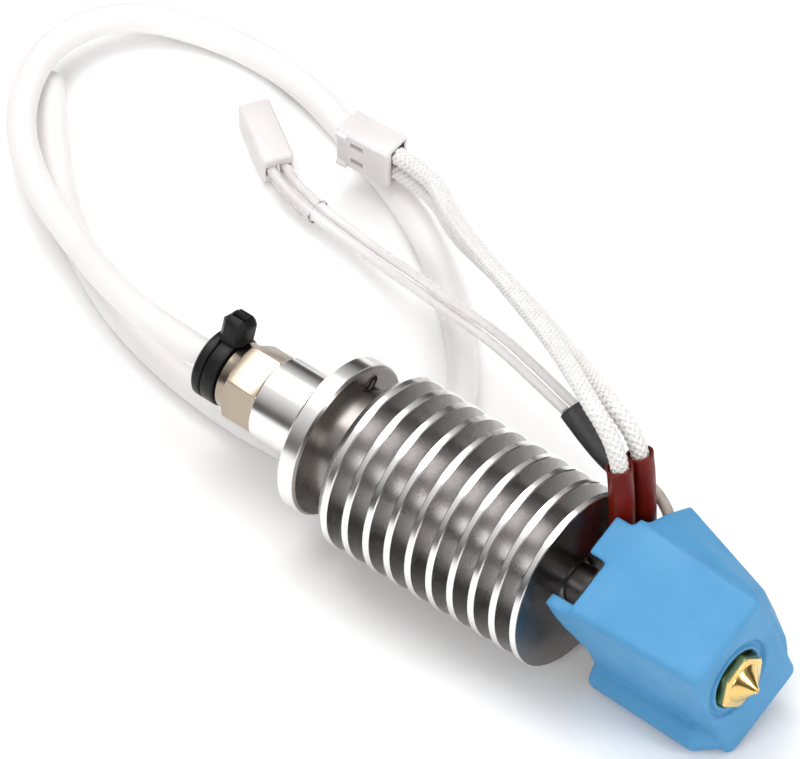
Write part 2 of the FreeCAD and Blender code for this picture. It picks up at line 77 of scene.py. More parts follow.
def mesh_object(name, vertices, faces, material, smooth=True):
    mesh = bpy.data.meshes.new(name)
    mesh.from_pydata(vertices, [], faces)
    mesh.update()
    mesh.materials.append(material)
    if smooth:
        mesh.shade_smooth()
    return new_object(name, mesh)


def plain_material(name, colour, roughness, metallic=0.0):
    """A new material and its shader, with the constants on the shader's own sockets."""
    material = bpy.data.materials.new(name)
    material.use_nodes = True
    shader = material.node_tree.nodes["Principled BSDF"]
    shader.inputs["Base Color"].default_value = (*colour, 1.0)
    shader.inputs["Roughness"].default_value = roughness
    shader.inputs["Metallic"].default_value = metallic
    return material, shader


def add_node(tree, kind, **settings):
    node = tree.nodes.new(kind)
    for key, value in settings.items():
        setattr(node, key, value)
    return node


def spread(tree, value, low, high, from_low=0.3, from_high=0.7):
    """A mask socket spread over the range low to high."""
    ranged = add_node(tree, "ShaderNodeMapRange")
    ranged.inputs["From Min"].default_value = from_low
    ranged.inputs["From Max"].default_value = from_high
    for target, socket in ((low, ranged.inputs["To Min"]), (high, ranged.inputs["To Max"])):
        if isinstance(target, bpy.types.NodeSocket):
            tree.links.new(target, socket)
        else:
            socket.default_value = target
    tree.links.new(value, ranged.inputs["Value"])
    return ranged.outputs["Result"]


scene.view_settings.view_transform = "Standard"
world = bpy.data.worlds.new("room")
scene.world = world
world.use_nodes = True
room_tree = world.node_tree
room_tree.nodes["Background"].inputs["Color"].default_value = ROOM_COLOUR
room_direction = add_node(room_tree, "ShaderNodeTexCoord")
room_split = add_node(room_tree, "ShaderNodeSeparateXYZ")
room_tree.links.new(room_direction.outputs["Generated"], room_split.inputs[0])
room_light = spread(room_tree, room_split.outputs["Z"], ROOM_AT_HORIZON, ROOM_OVERHEAD, *ROOM_BLEND)
room_tree.links.new(room_light, room_tree.nodes["Background"].inputs["Strength"])

for name, place, width, depth, watts in SOFT_BOXES:
    lamp = bpy.data.lights.new(name, "AREA")
    lamp.shape = "RECTANGLE"
    lamp.size = width
    lamp.size_y = depth
    lamp.energy = watts
    light = new_object(name, lamp)
    light.location = place
    light.rotation_euler = (-Vector(place)).to_track_quat("-Z", "Y").to_euler()

bench_material = plain_material("bench_white", (0.93, 0.93, 0.93), 0.9)[0]
bench_corners = [(-3, -3, BENCH_Z), (3, -3, BENCH_Z), (3, 3, BENCH_Z), (-3, 3, BENCH_Z)]
bench = mesh_object("bench_top", bench_corners, [(0, 1, 2, 3)], bench_material, smooth=False)

camera = new_object("camera", bpy.data.cameras.new("camera"))
camera.data.sensor_width = 36.0
camera.data.lens = CAMERA_LENS_MM
towards_camera = Vector((
    math.sin(CAMERA_AZIMUTH) * math.cos(CAMERA_ELEVATION),
    -math.cos(CAMERA_AZIMUTH) * math.cos(CAMERA_ELEVATION),
    math.sin(CAMERA_ELEVATION)))
camera.location = CAMERA_TARGET + towards_camera * CAMERA_DISTANCE
camera.rotation_euler = (math.pi / 2.0 - CAMERA_ELEVATION, 0.0, CAMERA_AZIMUTH)
scene.camera = camera

# ---- Filament tube ----
# PTFE tube of 4 mm with a 2 mm bore, milky and waxy. It comes out of the coupler,
# loops over itself and ends in a square cut; it rests on the bench.
TUBE_ROUTE = [
    (-0.0195, 0.0, 0.0), (-0.030, 0.0, 0.0), (-0.041, 0.0046, -0.004), (-0.0515, 0.010, -0.0074),
    (-0.0625, 0.0146, -0.0077), (-0.0725, 0.023, -0.008), (-0.0778, 0.0355, -0.0082),
    (-0.0745, 0.0475, -0.010), (-0.0635, 0.0536, -0.012), (-0.0505, 0.0542, -0.012),
    (-0.0365, 0.050, -0.012), (-0.0225, 0.0448, -0.012), (-0.0105, 0.0372, -0.012),
    (-0.0022, 0.0298, -0.012), (0.0042, 0.0216, -0.012), (0.0039, 0.0104, -0.012),
    (-0.005, 0.0029, -0.012), (-0.018, 0.0022, -0.012), (-0.032, 0.0039, -0.012),
    (-0.045, 0.008, -0.012), (-0.0575, 0.0154, -0.012), (-0.068, 0.0248, -0.012),
    (-0.0752, 0.033, -0.012)]
TUBE_R = 2.0 * MM
TUBE_BORE_R = 1.0 * MM


def cord_curve(name, route, steps=12):
    """A smooth NURBS line with the route's points as its control points."""
    curve = bpy.data.curves.new(name, "CURVE")
    curve.dimensions = "3D"
    curve.resolution_u = steps
    spline = curve.splines.new("NURBS")
    spline.points.add(len(route) - 1)
    for control, point in zip(spline.points, route):
        control.co = (*point, 1.0)
    spline.order_u = 3
    spline.use_endpoint_u = True
    return new_object(name, curve)


def line_points(route, steps=12):
    """The points of the smooth line through a route."""
    carrier = cord_curve("line_reader", route, steps)
    bpy.context.view_layer.update()
    mesh = bpy.data.meshes.new_from_object(carrier)
    points = [vertex.co.copy() for vertex in mesh.vertices]
    bpy.data.meshes.remove(mesh)
    bpy.data.objects.remove(carrier)
    return points


def line_length(points):
    return sum((b - a).length for a, b in zip(points, points[1:]))


def line_frames(points):
    """For each point of a line: the point, and two directions across the line that don't twist."""
    frames = []
    across = None
    for index, point in enumerate(points):
        ahead = points[min(index + 1, len(points) - 1)] - points[max(index - 1, 0)]
        ahead.normalize()
        if across is None:
            across = ahead.orthogonal()
        across = (across - ahead * across.dot(ahead)).normalized()
        frames.append((point, across, ahead.cross(across)))
    return frames


def tube_object(name, points, outer_radii, bore_radii, material, sides=32):
    """An open-ended tube along a line, with its radii given point by point."""
    frames = line_frames(points)
    vertices = []
    for radii in (outer_radii, bore_radii):
        for (point, across, up), radius in zip(frames, radii):
            for side in range(sides):
                turn = 2.0 * math.pi * side / sides
                vertices.append(point + (across * math.cos(turn) + up * math.sin(turn)) * radius)
    count = len(frames)
    inner = count * sides
    faces = []
    for row in range(count - 1):
        for side in range(sides):
            after = (side + 1) % sides
            a, b = row * sides + side, row * sides + after
            faces.append((a, b, b + sides, a + sides))
            faces.append((inner + b, inner + a, inner + a + sides, inner + b + sides))
    last = (count - 1) * sides
    for side in range(sides):
        after = (side + 1) % sides
        faces.append((after, side, inner + side, inner + after))
        faces.append((last + side, last + after, inner + last + after, inner + last + side))
    return mesh_object(name, vertices, faces, material)


def shader_group(name, inputs, outputs):
    """A shader node group with named sockets; returns its tree and its two end nodes."""
    group = bpy.data.node_groups.new(name, "ShaderNodeTree")
    for socket, kind, value in inputs:
        made = group.interface.new_socket(socket, in_out="INPUT", socket_type=kind)
        if value is not None:
            made.default_value = value
    for socket, kind in outputs:
        group.interface.new_socket(socket, in_out="OUTPUT", socket_type=kind)
    return group, group.nodes.new("NodeGroupInput"), group.nodes.new("NodeGroupOutput")


def noise(tree, vector, scale, detail=2.0):
    """A noise texture on a vector socket, or scaled by a socket."""
    texture = add_node(tree, "ShaderNodeTexNoise")
    texture.inputs["Detail"].default_value = detail
    tree.links.new(vector, texture.inputs["Vector"])
    if isinstance(scale, bpy.types.NodeSocket):
        tree.links.new(scale, texture.inputs["Scale"])
    else:
        texture.inputs["Scale"].default_value = scale
    return texture.outputs["Fac"]


def mixed(tree, factor, first, second):
    """A colour mix of two colours or sockets by a factor socket."""
    mix = add_node(tree, "ShaderNodeMix", data_type="RGBA")
    tree.links.new(factor, mix.inputs[0])
    for value, socket in ((first, mix.inputs[6]), (second, mix.inputs[7])):
        if isinstance(value, bpy.types.NodeSocket):
            tree.links.new(value, socket)
        else:
            socket.default_value = (*value, 1.0)
    return mix.outputs[2]


def bumped(tree, shader, height, distance):
    bump = add_node(tree, "ShaderNodeBump")
    bump.inputs["Strength"].default_value = 1.0
    bump.inputs["Distance"].default_value = distance
    tree.links.new(height, bump.inputs["Height"])
    tree.links.new(bump.outputs["Normal"], shader.inputs["Normal"])


def moulded_grain_group():
    """Colour, roughness and height of a moulded or extruded surface: fine grain and slow smudges."""
    group, start, end = shader_group("moulded_grain", [
        ("Position", "NodeSocketVector", None),
        ("Colour", "NodeSocketColor", (0.5, 0.5, 0.5, 1.0)),
        ("Smudge colour", "NodeSocketColor", (0.4, 0.4, 0.4, 1.0)),
        ("Grain per metre", "NodeSocketFloat", 3000.0),
        ("Smudge per metre", "NodeSocketFloat", 150.0),
        ("Roughness low", "NodeSocketFloat", 0.4),
        ("Roughness high", "NodeSocketFloat", 0.6)], [
        ("Colour", "NodeSocketColor"), ("Roughness", "NodeSocketFloat"), ("Height", "NodeSocketFloat")])
    grain = noise(group, start.outputs["Position"], start.outputs["Grain per metre"], 3.0)
    smudge = noise(group, start.outputs["Position"], start.outputs["Smudge per metre"], 4.0)
    mask = spread(group, smudge, 0.0, 1.0, 0.35, 0.75)
    colour = mixed(group, mask, start.outputs["Colour"], start.outputs["Smudge colour"])
    rough = spread(group, smudge, start.outputs["Roughness low"], start.outputs["Roughness high"])
    group.links.new(colour, end.inputs["Colour"])
    group.links.new(rough, end.inputs["Roughness"])
    group.links.new(grain, end.inputs["Height"])
    return group


MOULDED_GRAIN = moulded_grain_group()


def moulded_material(name, colour, smudge, grain, roughness, bump, smudge_scale=150.0):
    """A moulded or extruded plastic, rubber or silicone."""
    material, shader = plain_material(name, colour, roughness[0])
    tree = material.node_tree
    place = add_node(tree, "ShaderNodeTexCoord")
    surface = add_node(tree, "ShaderNodeGroup", node_tree=MOULDED_GRAIN)
    tree.links.new(place.outputs["Object"], surface.inputs["Position"])
    surface.inputs["Colour"].default_value = (*colour, 1.0)
    surface.inputs["Smudge colour"].default_value = (*smudge, 1.0)
    surface.inputs["Grain per metre"].default_value = grain
    surface.inputs["Smudge per metre"].default_value = smudge_scale
    surface.inputs["Roughness low"].default_value = roughness[0]
    surface.inputs["Roughness high"].default_value = roughness[1]
    tree.links.new(surface.outputs["Colour"], shader.inputs["Base Color"])
    tree.links.new(surface.outputs["Roughness"], shader.inputs["Roughness"])
    bumped(tree, shader, surface.outputs["Height"], bump)
    return material, shader


ptfe, ptfe_shader = moulded_material(
    "milky_ptfe", (0.90, 0.875, 0.872), (0.86, 0.832, 0.83), 900.0, (0.28, 0.38), 0.02 * MM, 90.0)
ptfe_shader.inputs["Subsurface Weight"].default_value = 0.6
ptfe_shader.inputs["Subsurface Radius"].default_value = (1.0, 0.9, 0.88)
ptfe_shader.inputs["Subsurface Scale"].default_value = 1.2 * MM
ptfe_shader.inputs["Transmission Weight"].default_value = 0.1
ptfe_shader.inputs["IOR"].default_value = 1.35

tube_points = line_points(TUBE_ROUTE)
tube = tube_object(
    "filament_tube", tube_points,
    [TUBE_R] * len(tube_points), [TUBE_BORE_R] * len(tube_points), ptfe)
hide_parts("ptfe_tube")
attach(tube, "hotend")
frame["nodes"]["ptfe_liner"].material_slots[0].material = ptfe

# ---- Heater wires and their red sleeves ----
# Two stranded wires, each under a white glass-fibre braid of six yarns each way.
# Where they leave the heater, each runs in a short red-brown silicone-glass sleeve.
WIRE_ROUTES = {
    "a": [
        (0.050, 0.0024, -0.0061), (0.044, 0.0024, -0.0061), (0.0436, 0.0062, 0.0006), (0.0436, 0.0063, 0.011),
        (0.0429, 0.0063, 0.0206), (0.036, 0.0087, 0.0234), (0.0254, 0.0153, 0.0204), (0.0124, 0.0229, 0.0148),
        (-0.0011, 0.0311, 0.0078), (-0.0118, 0.0388, 0.0004), (-0.02181, 0.04687, -0.0048),
        (-0.0298, 0.04648, -0.0048)],
    "b": [
        (0.050, 0.00492, -0.00738), (0.044, 0.00492, -0.00738), (0.0439, 0.0103, -0.0004),
        (0.0439, 0.0102, 0.009), (0.0434, 0.0102, 0.0189), (0.0374, 0.0113, 0.022), (0.027, 0.0168, 0.0184),
        (0.0141, 0.0241, 0.0127), (0.0006, 0.0316, 0.0056), (-0.0105, 0.0385, -0.0021),
        (-0.02181, 0.04687, -0.0076), (-0.0298, 0.04648, -0.0076)]}
BRAID_R = 1.3 * MM
YARN_R = 0.30 * MM
YARNS_EACH_WAY = 6
BRAID_PITCH = 5.6 * MM
BRAID_STEP = 0.14 * MM
BRAID_MIDDLE_R = BRAID_R - 1.35 * YARN_R
WEAVE_HEIGHT = 0.35 * YARN_R
WIRE_CORE_R = BRAID_R - 1.2 * YARN_R
WIRE_CORE_BORE_R = 0.3 * MM
RED_SLEEVE_R = 1.72 * MM
RED_SLEEVE_BORE_R = 1.42 * MM
RED_SLEEVE_MIN_X = 41.0 * MM
FLARE_LENGTH = 1.2 * MM
FLARE_R = 0.12 * MM
RED_SLEEVE_SPAN_Z = {"a": (-2.4 * MM, 17.8 * MM), "b": (-2.4 * MM, 17.0 * MM)}


def geometry_tree(name, inputs):
    """A Geometry Nodes tree with named inputs; returns the tree, its input node and its output node."""
    tree = bpy.data.node_groups.new(name, "GeometryNodeTree")
    tree.interface.new_socket("Geometry", in_out="OUTPUT", socket_type="NodeSocketGeometry")
    tree.interface.new_socket("Geometry", in_out="INPUT", socket_type="NodeSocketGeometry")
    for socket, kind in inputs:
        tree.interface.new_socket(socket, in_out="INPUT", socket_type=kind)
    return tree, tree.nodes.new("NodeGroupInput"), tree.nodes.new("NodeGroupOutput")


def node_math(tree, operation, first, second=0.0):
    """A Math node on two sockets or numbers."""
    node = add_node(tree, "ShaderNodeMath", operation=operation)
    for value, socket in ((first, node.inputs[0]), (second, node.inputs[1])):
        if isinstance(value, bpy.types.NodeSocket):
            tree.links.new(value, socket)
        else:
            socket.default_value = value
    return node.outputs[0]


def finish_tree(tree, geometry, start, end):
    """Ends a tree in Realize Instances and Set Material."""
    real = tree.nodes.new("GeometryNodeRealizeInstances")
    painted = tree.nodes.new("GeometryNodeSetMaterial")
    tree.links.new(geometry, real.inputs[0])
    tree.links.new(real.outputs[0], painted.inputs["Geometry"])
    tree.links.new(start.outputs["Material"], painted.inputs["Material"])
    tree.links.new(painted.outputs[0], end.inputs["Geometry"])


def grown(name, carrier, tree, values, smooth=True):
    """The plain mesh that a tree grows on a carrier object, which is used up."""
    modifier = carrier.modifiers.new("grow", "NODES")
    modifier.node_group = tree
    for item in tree.interface.items_tree:
        if item.in_out == "INPUT" and item.name in values:
            modifier[item.identifier] = values[item.name]
    bpy.context.view_layer.update()
    mesh = bpy.data.meshes.new_from_object(carrier.evaluated_get(bpy.context.evaluated_depsgraph_get()))
    bpy.data.objects.remove(carrier)
    mesh.name = name
    if smooth:
        mesh.shade_smooth()
    return new_object(name, mesh)


def braid_tree():
    """Yarns wound both ways round a line, each passing over and under the others in turn."""
    tree, start, end = geometry_tree("braid", [
        ("Yarns each way", "NodeSocketInt"), ("Pitch", "NodeSocketFloat"),
        ("Middle radius", "NodeSocketFloat"), ("Weave height", "NodeSocketFloat"),
        ("Yarn radius", "NodeSocketFloat"), ("Step", "NodeSocketFloat"), ("Material", "NodeSocketMaterial")])
    link = tree.links.new
    line = tree.nodes.new("GeometryNodeMeshToCurve")
    link(start.outputs["Geometry"], line.inputs[0])
    fine = add_node(tree, "GeometryNodeResampleCurve", mode="LENGTH")
    link(line.outputs[0], fine.inputs["Curve"])
    link(start.outputs["Step"], fine.inputs["Length"])
    copies = add_node(tree, "GeometryNodeDuplicateElements", domain="SPLINE")
    link(fine.outputs[0], copies.inputs["Geometry"])
    link(node_math(tree, "MULTIPLY", start.outputs["Yarns each way"], 2.0), copies.inputs["Amount"])
    which = copies.outputs["Duplicate Index"]
    along = tree.nodes.new("GeometryNodeSplineParameter").outputs["Length"]
    odd = node_math(tree, "MODULO", which, 2.0)
    way = node_math(tree, "SUBTRACT", node_math(tree, "MULTIPLY", odd, 2.0), 1.0)
    turns = node_math(tree, "DIVIDE", along, start.outputs["Pitch"])
    slot_index = node_math(tree, "FLOOR", node_math(tree, "DIVIDE", which, 2.0))
    share = node_math(tree, "DIVIDE", slot_index, start.outputs["Yarns each way"])
    turned = node_math(tree, "ADD", node_math(tree, "MULTIPLY", turns, way), share)
    angle = node_math(tree, "MULTIPLY", turned, math.tau)
    crossings = node_math(tree, "MULTIPLY", turns, start.outputs["Yarns each way"])
    weave = node_math(tree, "COSINE", node_math(tree, "MULTIPLY", crossings, math.tau))
    lift = node_math(tree, "MULTIPLY", node_math(tree, "MULTIPLY", weave, way), start.outputs["Weave height"])
    radius = node_math(tree, "ADD", start.outputs["Middle radius"], lift)
    normal = tree.nodes.new("GeometryNodeInputNormal").outputs[0]
    tangent = tree.nodes.new("GeometryNodeInputTangent").outputs[0]
    cross = add_node(tree, "ShaderNodeVectorMath", operation="CROSS_PRODUCT")
    link(tangent, cross.inputs[0])
    link(normal, cross.inputs[1])
    offsets = []
    for direction, wave in ((normal, "COSINE"), (cross.outputs[0], "SINE")):
        scaled = add_node(tree, "ShaderNodeVectorMath", operation="SCALE")
        link(direction, scaled.inputs[0])
        link(node_math(tree, "MULTIPLY", node_math(tree, wave, angle), radius), scaled.inputs["Scale"])
        offsets.append(scaled.outputs[0])
    total = add_node(tree, "ShaderNodeVectorMath", operation="ADD")
    link(offsets[0], total.inputs[0])
    link(offsets[1], total.inputs[1])
    wound = tree.nodes.new("GeometryNodeSetPosition")
    link(copies.outputs["Geometry"], wound.inputs["Geometry"])
    link(total.outputs[0], wound.inputs["Offset"])
    section = tree.nodes.new("GeometryNodeCurvePrimitiveCircle")
    section.inputs["Resolution"].default_value = 5
    link(start.outputs["Yarn radius"], section.inputs["Radius"])
    yarns = tree.nodes.new("GeometryNodeCurveToMesh")
    link(wound.outputs[0], yarns.inputs["Curve"])
    link(section.outputs[0], yarns.inputs["Profile Curve"])
    yarns.inputs["Fill Caps"].default_value = True
    finish_tree(tree, yarns.outputs[0], start, end)
    return tree


BRAID_TREE = braid_tree()
glass_yarn, glass_shader = moulded_material(
    "glass_yarn", (0.82, 0.80, 0.785), (0.74, 0.715, 0.70), 9000.0, (0.45, 0.65), 0.03 * MM, 400.0)
glass_shader.inputs["Subsurface Weight"].default_value = 0.25
glass_shader.inputs["Subsurface Radius"].default_value = (1.0, 0.95, 0.92)
glass_shader.inputs["Subsurface Scale"].default_value = 0.4 * MM
glass_shader.inputs["Sheen Weight"].default_value = 0.3
wire_core = moulded_material(
    "wire_core", (0.80, 0.78, 0.76), (0.72, 0.70, 0.67), 6000.0, (0.5, 0.6), 0.01 * MM, 400.0)[0]
red_silicone, red_shader = moulded_material(
    "red_silicone_glass", (0.16, 0.009, 0.002), (0.10, 0.005, 0.0015), 4000.0, (0.32, 0.45), 0.02 * MM, 300.0)
red_shader.inputs["Specular IOR Level"].default_value = 0.25

for label, route in WIRE_ROUTES.items():
    points = line_points(route, 24)
    carrier_mesh = bpy.data.meshes.new("braid_line")
    carrier_mesh.from_pydata(points, [(i, i + 1) for i in range(len(points) - 1)], [])
    braid = grown("wire_braid_" + label, new_object("braid_line", carrier_mesh), BRAID_TREE, {
        "Yarns each way": YARNS_EACH_WAY, "Pitch": BRAID_PITCH, "Middle radius": BRAID_MIDDLE_R,
        "Weave height": WEAVE_HEIGHT, "Yarn radius": YARN_R, "Step": BRAID_STEP, "Material": glass_yarn})
    core = tube_object(
        "wire_core_" + label, points,
        [WIRE_CORE_R] * len(points), [WIRE_CORE_BORE_R] * len(points), wire_core, 16)
    low, high = RED_SLEEVE_SPAN_Z[label]
    held = [p for p in points[:len(points) // 2] if low < p.z < high and p.x > RED_SLEEVE_MIN_X]
    flare = [max(0.0, 1.0 - (high - p.z) / FLARE_LENGTH) * FLARE_R for p in held]
    sleeve = tube_object(
        "red_sleeve_" + label, held, [RED_SLEEVE_R + extra for extra in flare],
        [RED_SLEEVE_BORE_R + extra for extra in flare], red_silicone, 40)
    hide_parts("heater_wire_" + label)
    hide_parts("heater_sleeve_" + label)
    for piece in (braid, core, sleeve):
        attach(piece, "hotend")

# ---- Thermistor lead, shrink sleeve, wires and clear sleeve ----
# A steel-capped bead screwed to the block, its thin sleeved lead, black heat-shrink
# over the joint, two thin white wires, and a clear oval sleeve at the plug.
LEAD_ROUTE = [
    (0.058, 0.00711, 0.00273), (0.058, 0.01092, 0.00419), (0.0486, 0.011, 0.00454),
    (0.0444, 0.0135, 0.007), (0.040, 0.0129, 0.0087), (0.0356, 0.0125, 0.0094), (0.0289, 0.0139, 0.0124)]
SENSOR_ROUTES = {
    "a": [
        (0.0286, 0.01318, 0.0123), (0.0211, 0.0159, 0.0106), (0.0103, 0.0212, 0.0056),
        (-0.001, 0.0265, -0.00095), (-0.0126, 0.0315, -0.0072), (-0.0237, 0.03485, -0.0111),
        (-0.03927, 0.03683, -0.0114), (-0.04425, 0.040, -0.0114)],
    "b": [
        (0.0292, 0.01462, 0.0125), (0.0217, 0.0173, 0.011), (0.0105, 0.0222, 0.0068),
        (-0.001, 0.0271, 0.00055), (-0.0124, 0.0325, -0.006), (-0.0233, 0.03635, -0.0109),
        (-0.0382, 0.03851, -0.0114), (-0.04317, 0.04169, -0.0114)]}
LEAD_R = 0.8 * MM
SHRINK_R = 1.75 * MM
SHRINK_TIP_SHARE = 0.62     # the narrow end's share of the full radius
SHRINK_BORE_R = 0.3 * MM
SHRINK_START_X = 39.8 * MM
THIN_WIRE_R = 0.65 * MM
CLEAR_SLEEVE_ROUTE = [(-0.04109, 0.03918, -0.0114), (-0.03873, 0.03767, -0.0114), (-0.0326, 0.0368, -0.0112)]
CLEAR_SLEEVE_R = 1.65 * MM
CLEAR_SLEEVE_BORE_R = 1.5 * MM

lead_sleeving, lead_shader = moulded_material(
    "lead_sleeving", (0.50, 0.44, 0.38), (0.36, 0.31, 0.27), 3000.0, (0.25, 0.35), 0.01 * MM, 600.0)
lead_shader.inputs["Coat Weight"].default_value = 0.5
shrink_black = moulded_material(
    "shrink_black", (0.028, 0.027, 0.028), (0.045, 0.044, 0.045), 2500.0, (0.42, 0.58), 0.04 * MM, 500.0)[0]
thin_insulation, thin_shader = moulded_material(
    "thin_insulation", (0.79, 0.765, 0.765), (0.72, 0.695, 0.695), 2500.0, (0.22, 0.34), 0.01 * MM, 250.0)
thin_shader.inputs["Subsurface Weight"].default_value = 0.2
thin_shader.inputs["Subsurface Radius"].default_value = (1.0, 0.95, 0.95)
thin_shader.inputs["Subsurface Scale"].default_value = 0.5 * MM
clear_sleeving, clear_shader = moulded_material(
    "clear_sleeving", (0.99, 0.985, 0.985), (0.96, 0.955, 0.955), 1500.0, (0.10, 0.20), 0.01 * MM, 250.0)
clear_shader.inputs["Transmission Weight"].default_value = 0.95
clear_shader.inputs["IOR"].default_value = 1.06


def round_cord(name, route, radius, material):
    """A round cord: its NURBS line with a round section."""
    piece = cord_curve(name, route)
    piece.data.bevel_depth = radius
    piece.data.bevel_resolution = 4
    piece.data.use_fill_caps = True
    piece.data.materials.append(material)
    return piece


lead_points = line_points(LEAD_ROUTE)
lead = round_cord("thermistor_lead_sleeve", LEAD_ROUTE, LEAD_R, lead_sleeving)
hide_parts("thermistor_lead")
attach(lead, "hotend")

shrink_points = [p for p in line_points(LEAD_ROUTE, 24) if p.x <= SHRINK_START_X]
along_shrink = [index / (len(shrink_points) - 1) for index in range(len(shrink_points))]
widening = [math.sin(min(1.0, share * 2.2) * math.pi / 2.0) for share in along_shrink]
shrink_radii = [SHRINK_R * (SHRINK_TIP_SHARE + (1.0 - SHRINK_TIP_SHARE) * share) for share in widening]
shrink = tube_object(
    "shrink_sleeve", shrink_points, shrink_radii, [SHRINK_BORE_R] * len(shrink_points), shrink_black, 32)
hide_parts("thermistor_shrink")
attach(shrink, "hotend")

sleeve_points = line_points(CLEAR_SLEEVE_ROUTE)
clear_sleeve = tube_object(
    "clear_oval_sleeve", sleeve_points, [CLEAR_SLEEVE_R] * len(sleeve_points),
    [CLEAR_SLEEVE_BORE_R] * len(sleeve_points), clear_sleeving, 40)
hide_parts("thermistor_clear_sleeve")
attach(clear_sleeve, "hotend")

# ---- Connector plugs and their crimped contacts ----
# Moulded natural nylon housings, slightly see-through, with two wire entries each;
# tinned contacts are crimped to the wires inside.
plug_nylon, nylon_shader = moulded_material(
    "natural_nylon", (0.72, 0.695, 0.69), (0.66, 0.635, 0.63), 2200.0, (0.38, 0.5), 0.015 * MM, 250.0)
nylon_shader.inputs["Subsurface Weight"].default_value = 0.5
nylon_shader.inputs["Subsurface Radius"].default_value = (1.0, 0.9, 0.8)
nylon_shader.inputs["Subsurface Scale"].default_value = 1.0 * MM
contact_tin, contact_shader = moulded_material(
    "contact_tin", (0.70, 0.68, 0.64), (0.55, 0.53, 0.49), 5000.0, (0.25, 0.4), 0.01 * MM, 700.0)
contact_shader.inputs["Metallic"].default_value = 1.0
SHARP_ANGLE = math.radians(32.0)


def finished_copy(name, node, material, edge=0.0):
    """A merged copy of a CAD node with smooth round faces and, where edge is given, broken edges."""
    mesh = frame["nodes"][node].data.copy()
    mesh.name = name
    work = bmesh.new()
    work.from_mesh(mesh)
    bmesh.ops.remove_doubles(work, verts=work.verts, dist=0.5e-6)
    bmesh.ops.dissolve_limit(work, angle_limit=math.radians(0.4), verts=work.verts, edges=work.edges)
    work.to_mesh(mesh)
    work.free()
    for layer in ("custom_normal", "sharp_edge", "sharp_face"):
        if layer in mesh.attributes:
            mesh.attributes.remove(mesh.attributes[layer])
    mesh.materials.clear()
    mesh.materials.append(material)
    piece = new_object(name, mesh)
    if edge:
        bevel = piece.modifiers.new("broken_edges", "BEVEL")
        bevel.width = edge
        bevel.segments = 2
        bevel.limit_method = "ANGLE"
        bevel.angle_limit = SHARP_ANGLE
        bpy.context.view_layer.update()
        mesh = bpy.data.meshes.new_from_object(piece.evaluated_get(bpy.context.evaluated_depsgraph_get()))
        piece.modifiers.clear()
        piece.data = mesh
    mesh.shade_smooth()
    mesh.set_sharp_from_angle(angle=SHARP_ANGLE)
    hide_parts(node)
    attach(piece, node_body[node])
    return piece


node_body = {}
for body, members in frame["record"]["behaviour"]["bodies"].items():
    for member in members:
        node_body[member] = body

for kind in ("heater", "thermistor"):
    housing = finished_copy(kind + "_plug_housing", kind + "_plug", plug_nylon, edge=0.12 * MM)
    contacts = finished_copy(kind + "_plug_contacts", kind + "_contacts", contact_tin, edge=0.05 * MM)

for label, route in SENSOR_ROUTES.items():
    wire = round_cord("thin_wire_" + label, route, THIN_WIRE_R, thin_insulation)
    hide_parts("thermistor_wire_" + label)
    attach(wire, "hotend")
    line_length(line_points(route))

# ---- Heat sink, with a tapped thread in each flange hole ----
# Turned from one aluminium bar: neck, flange and ten thin fins with narrow rims.
# Rims and neck keep the bright metal. The fins' faces are a little rougher and carry a painted shade between
# the fins. The flange's back and the last fin's end face carry a deeper painted shade.


def turning_group():
    """Rings left by the tool on anything turned about the X axis, as height and roughness."""
    group, start, end = shader_group("turning_rings", [
        ("Position", "NodeSocketVector", None),
        ("Rings per metre", "NodeSocketFloat", 9000.0),
        ("Roughness low", "NodeSocketFloat", 0.15),
        ("Roughness high", "NodeSocketFloat", 0.3),
        ("Colour", "NodeSocketColor", (0.8, 0.8, 0.8, 1.0)),
        ("Dull colour", "NodeSocketColor", (0.6, 0.6, 0.6, 1.0))], [
        ("Colour", "NodeSocketColor"), ("Roughness", "NodeSocketFloat"), ("Height", "NodeSocketFloat"),
        ("Radius", "NodeSocketFloat"), ("Along", "NodeSocketFloat")])
    split = add_node(group, "ShaderNodeSeparateXYZ")
    group.links.new(start.outputs["Position"], split.inputs[0])
    flat = add_node(group, "ShaderNodeCombineXYZ")
    group.links.new(split.outputs["Y"], flat.inputs["X"])
    group.links.new(split.outputs["Z"], flat.inputs["Y"])
    radius = add_node(group, "ShaderNodeVectorMath", operation="LENGTH")
    group.links.new(flat.outputs[0], radius.inputs[0])
    rings = add_node(group, "ShaderNodeCombineXYZ")
    group.links.new(split.outputs["X"], rings.inputs["X"])
    group.links.new(radius.outputs["Value"], rings.inputs["Y"])
    fine = noise(group, rings.outputs[0], start.outputs["Rings per metre"], 2.0)
    handled = noise(group, start.outputs["Position"], 130.0, 4.0)
    rough = spread(group, handled, start.outputs["Roughness low"], start.outputs["Roughness high"])
    dull = spread(group, handled, 0.0, 1.0, 0.45, 0.8)
    colour = mixed(group, dull, start.outputs["Colour"], start.outputs["Dull colour"])
    group.links.new(colour, end.inputs["Colour"])
    group.links.new(rough, end.inputs["Roughness"])
    group.links.new(fine, end.inputs["Height"])
    group.links.new(radius.outputs["Value"], end.inputs["Radius"])
    group.links.new(split.outputs["X"], end.inputs["Along"])
    return group


TURNING_RINGS = turning_group()


